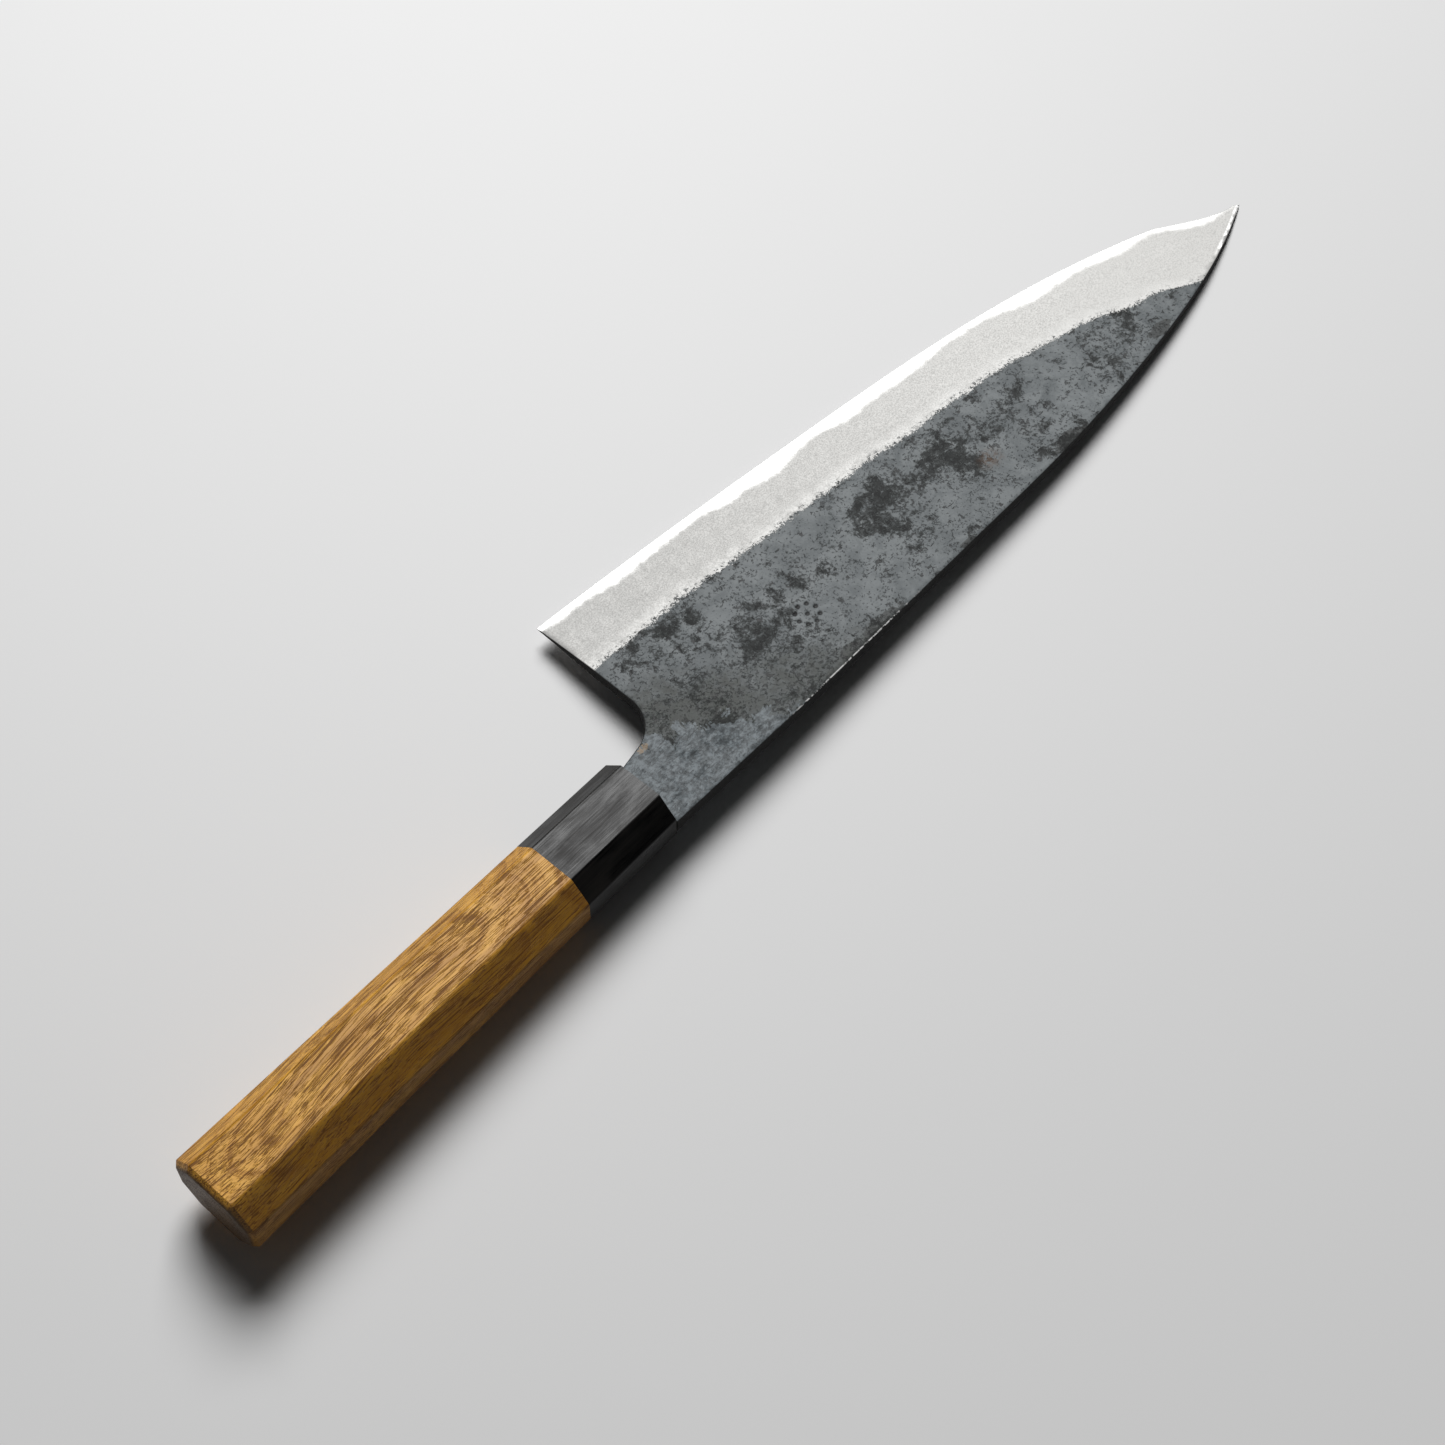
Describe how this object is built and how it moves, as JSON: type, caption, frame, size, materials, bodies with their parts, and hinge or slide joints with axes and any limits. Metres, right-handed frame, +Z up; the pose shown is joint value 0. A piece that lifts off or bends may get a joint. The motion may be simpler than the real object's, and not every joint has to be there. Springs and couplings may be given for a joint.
{
  "type": "chef knife",
  "caption": "Forged laminated chef knife with a tall curved blade, a black horn ferrule and a tapered octagonal wooden handle.",
  "frame": {"origin": "centre of the knife's bounding box, on the table it lies on", "axes": "+X along the handle from the butt to the tip, +Y towards the cutting edge, +Z up from the table. The knife lies on its right face at its own angle of rest, so its left face looks up and the blade leans about 4 degrees towards its edge and 2 degrees towards its tip"},
  "size_m": [0.3978, 0.066, 0.0247],
  "materials": {
    "core_steel": "bright, finely honed carbon steel",
    "forged_cladding": "blue-black mottled forge scale on the flats, matte stone-ground iron on the bevel",
    "horn": "black buffalo horn, satin, with fine lengthwise streaks",
    "handle_wood": "oiled golden-brown open-grained hardwood",
    "dowel_wood": "plain pale softwood",
    "resin": "dull tan fitting resin"
  },
  "bodies": {
    "root": {"core_steel": "core_steel", "cladding_left": "forged_cladding", "cladding_right": "forged_cladding", "ferrule": "horn", "handle_body": "handle_wood", "handle_dowel": "dowel_wood", "tang_bed": "resin", "mouth_seal": "resin"}
  },
  "joints": []
}
